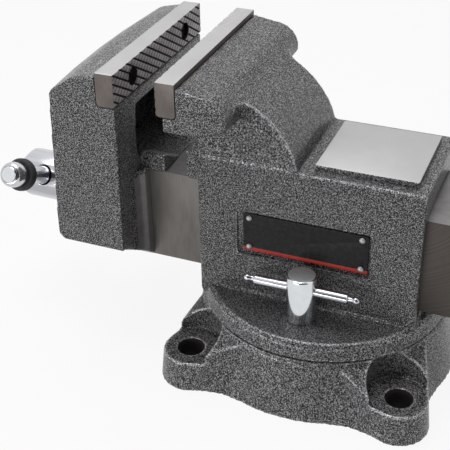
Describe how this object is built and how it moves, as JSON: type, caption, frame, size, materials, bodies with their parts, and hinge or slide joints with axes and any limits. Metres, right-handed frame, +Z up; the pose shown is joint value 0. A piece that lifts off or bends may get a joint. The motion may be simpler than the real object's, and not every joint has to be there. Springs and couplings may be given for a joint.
{
  "type": "bench vise",
  "caption": "Swivel bench vise: a screw-driven front jaw on a box slide, a fixed jaw with an anvil, and a round lugged base that locks at any angle.",
  "frame": {"origin": "where the swivel axis meets the underside of the base", "axes": "+X runs along the slide from the handle to the anvil, +Z is up, and -Y is the side with the name plate"},
  "size_m": [0.414, 0.2668, 0.238],
  "materials": {
    "hammered_paint": "cast iron under dark grey hammered enamel",
    "ground_steel": "ground steel",
    "dark_steel": "oiled steel",
    "chromed_steel": "chrome plated steel",
    "bronze": "cast bronze",
    "black_rubber": "black rubber",
    "black_enamel": "thin plate with gloss black enamel"
  },
  "bodies": {
    "base": {"swivel_base": "hammered_paint", "pivot_pin": "dark_steel"},
    "body": {"vise_body": "hammered_paint", "fixed_jaw_plate": "ground_steel", "fixed_jaw_screw_near": "dark_steel", "fixed_jaw_screw_far": "dark_steel", "spindle_nut": "bronze", "spindle_nut_bolt": "dark_steel", "lock_bolt_front": "dark_steel", "lock_bolt_rear": "dark_steel", "name_plate": "black_enamel", "name_plate_rivet_1": "ground_steel", "name_plate_rivet_2": "ground_steel", "name_plate_rivet_3": "ground_steel", "name_plate_rivet_4": "ground_steel"},
    "front_jaw": {"moving_jaw": "hammered_paint", "moving_jaw_plate": "ground_steel", "moving_jaw_screw_near": "dark_steel", "moving_jaw_screw_far": "dark_steel"},
    "screw": {"spindle": "chromed_steel", "thrust_washer": "dark_steel", "thrust_collar": "dark_steel", "collar_pin": "dark_steel"},
    "handle": {"handle_bar": "chromed_steel", "handle_knob_near": "chromed_steel", "handle_knob_far": "chromed_steel", "knob_ring_near": "black_rubber", "knob_ring_far": "black_rubber"},
    "front_lock": {"lock_nut_front": "chromed_steel"},
    "front_lock_bar": {"lock_bar_front": "chromed_steel"},
    "rear_lock": {"lock_nut_rear": "chromed_steel"},
    "rear_lock_bar": {"lock_bar_rear": "chromed_steel"}
  },
  "joints": [
    {"name": "swivel", "type": "hinge", "parent": "base", "child": "body", "pos_m": [0, 0, 0.0478], "axis": [0, 0, 1], "continuous": true},
    {"name": "jaw_slide", "type": "slide", "parent": "body", "child": "front_jaw", "axis": [1, 0, 0], "range_m": [-0.118, 0.031]},
    {"name": "screw_turn", "type": "hinge", "parent": "front_jaw", "child": "screw", "pos_m": [-0.209, 0, 0.101], "axis": [1, 0, 0], "range_deg": [-7090, 1870]},
    {"name": "handle_slide", "type": "slide", "parent": "screw", "child": "handle", "axis": [0, -0.8829, 0.4695], "range_m": [-0.0275, 0.1355]},
    {"name": "front_lock_turn", "type": "hinge", "parent": "body", "child": "front_lock", "pos_m": [0, -0.0626, 0.0618], "axis": [0, 0, 1], "range_deg": [-15, 15]},
    {"name": "front_lock_bar_slide", "type": "slide", "parent": "front_lock", "child": "front_lock_bar", "axis": [-1, 0, 0], "range_m": [-0.027, 0.026]},
    {"name": "rear_lock_turn", "type": "hinge", "parent": "body", "child": "rear_lock", "pos_m": [0, 0.0626, 0.0618], "axis": [0, 0, 1], "range_deg": [-15, 15]},
    {"name": "rear_lock_bar_slide", "type": "slide", "parent": "rear_lock", "child": "rear_lock_bar", "axis": [1, 0, 0], "range_m": [-0.026, 0.027]}
  ],
  "couplings": [
    {"joint": "screw_turn", "follows": "jaw_slide", "rad_per_m": 1047.2}
  ]
}
